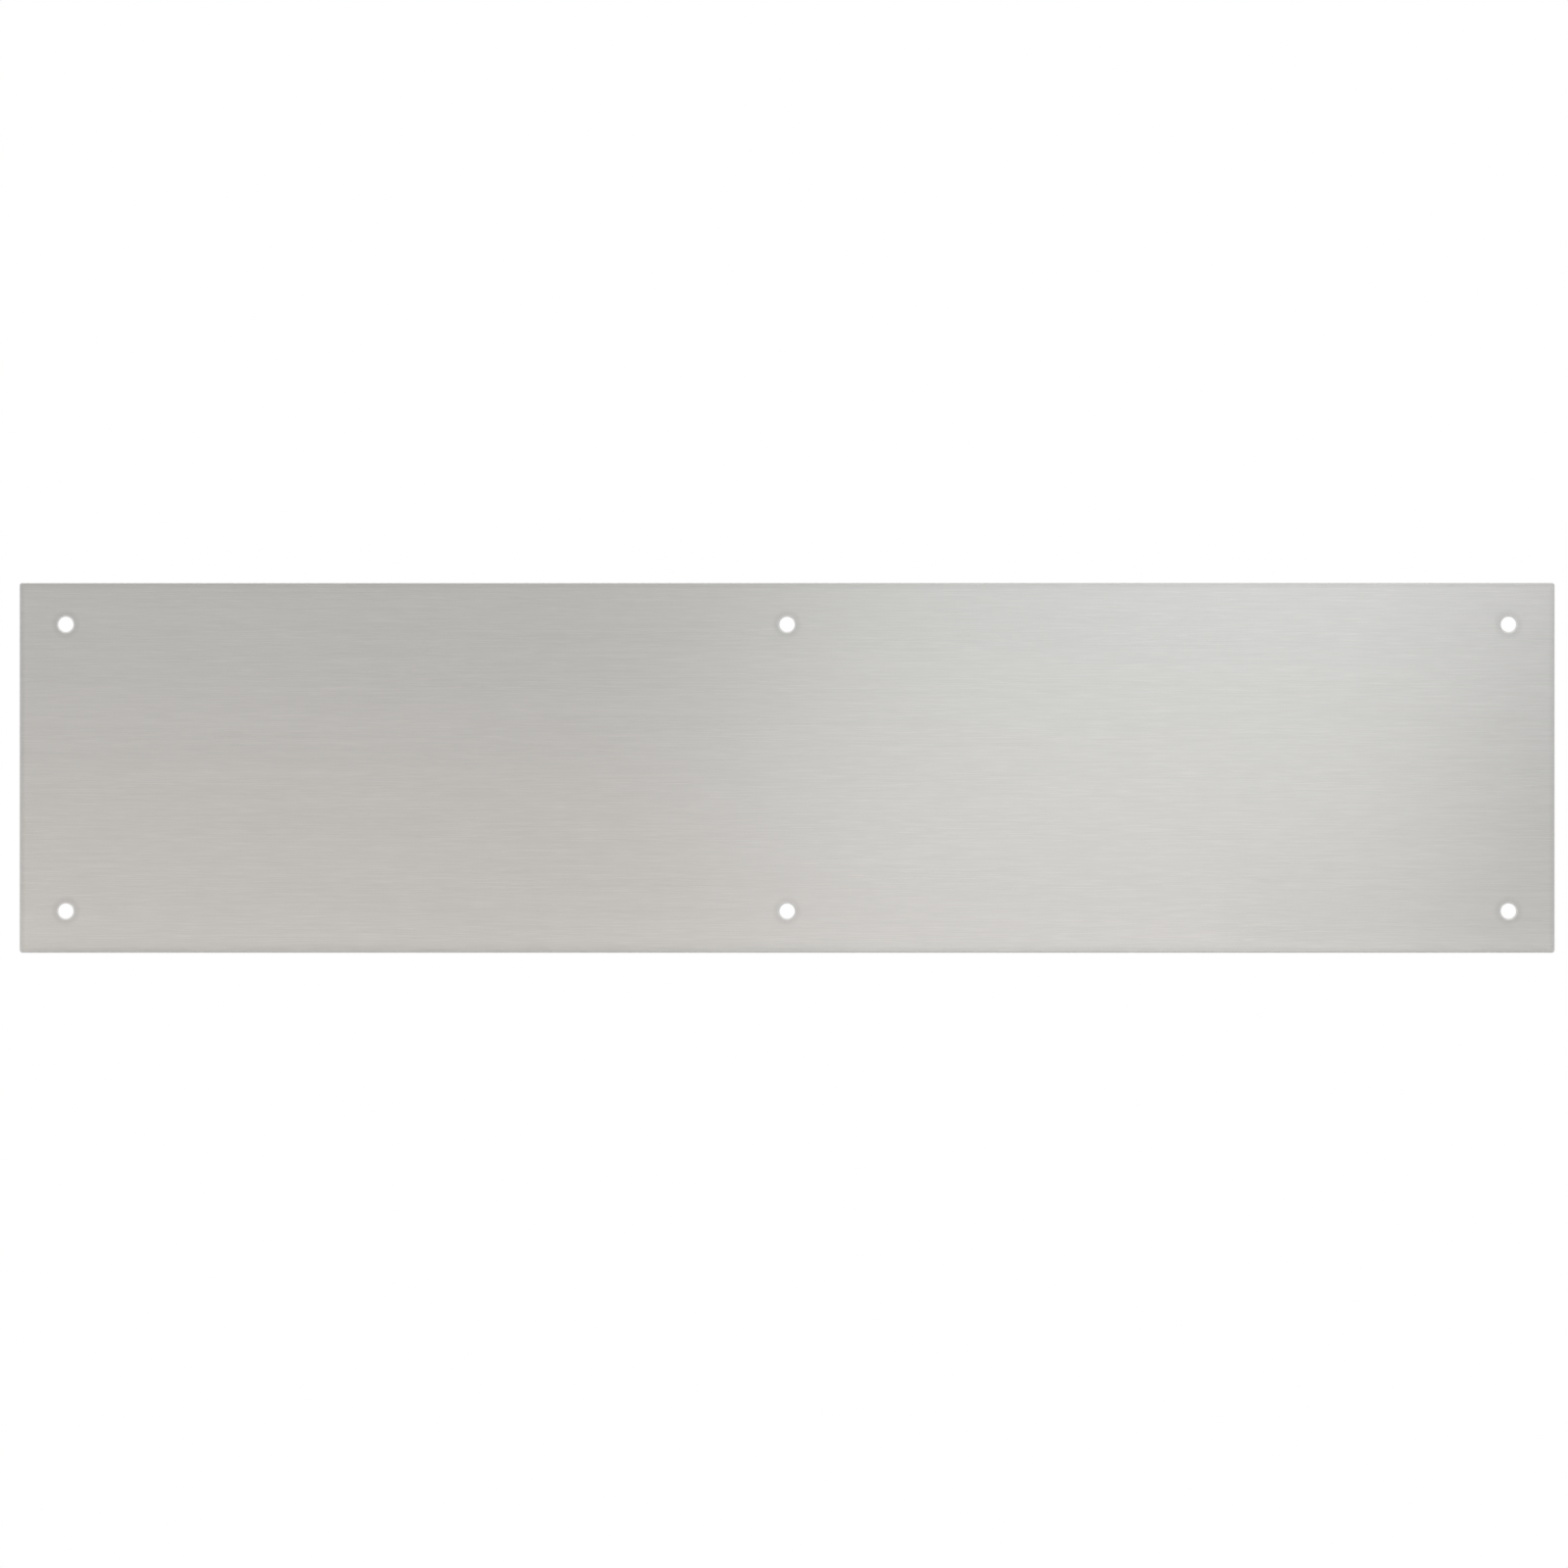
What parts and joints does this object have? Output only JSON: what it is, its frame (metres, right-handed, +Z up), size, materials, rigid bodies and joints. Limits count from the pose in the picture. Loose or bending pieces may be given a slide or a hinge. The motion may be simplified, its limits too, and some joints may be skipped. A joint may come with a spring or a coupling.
{
  "type": "kick plate",
  "caption": "Flat satin stainless kick plate, bevelled on its front edges, with countersunk screw holes along its top and bottom.",
  "frame": {"origin": "centre of the flat back face, which lies against the door", "axes": "+X along the plate, +Y into the door, +Z up; the satin front face looks towards -Y"},
  "size_m": [0.83, 0.0012, 0.2],
  "materials": {
    "satin_stainless": "satin, fine horizontal grain on the front, duller mill finish on the back"
  },
  "bodies": {
    "root": {"plate": "satin_stainless"}
  },
  "joints": []
}
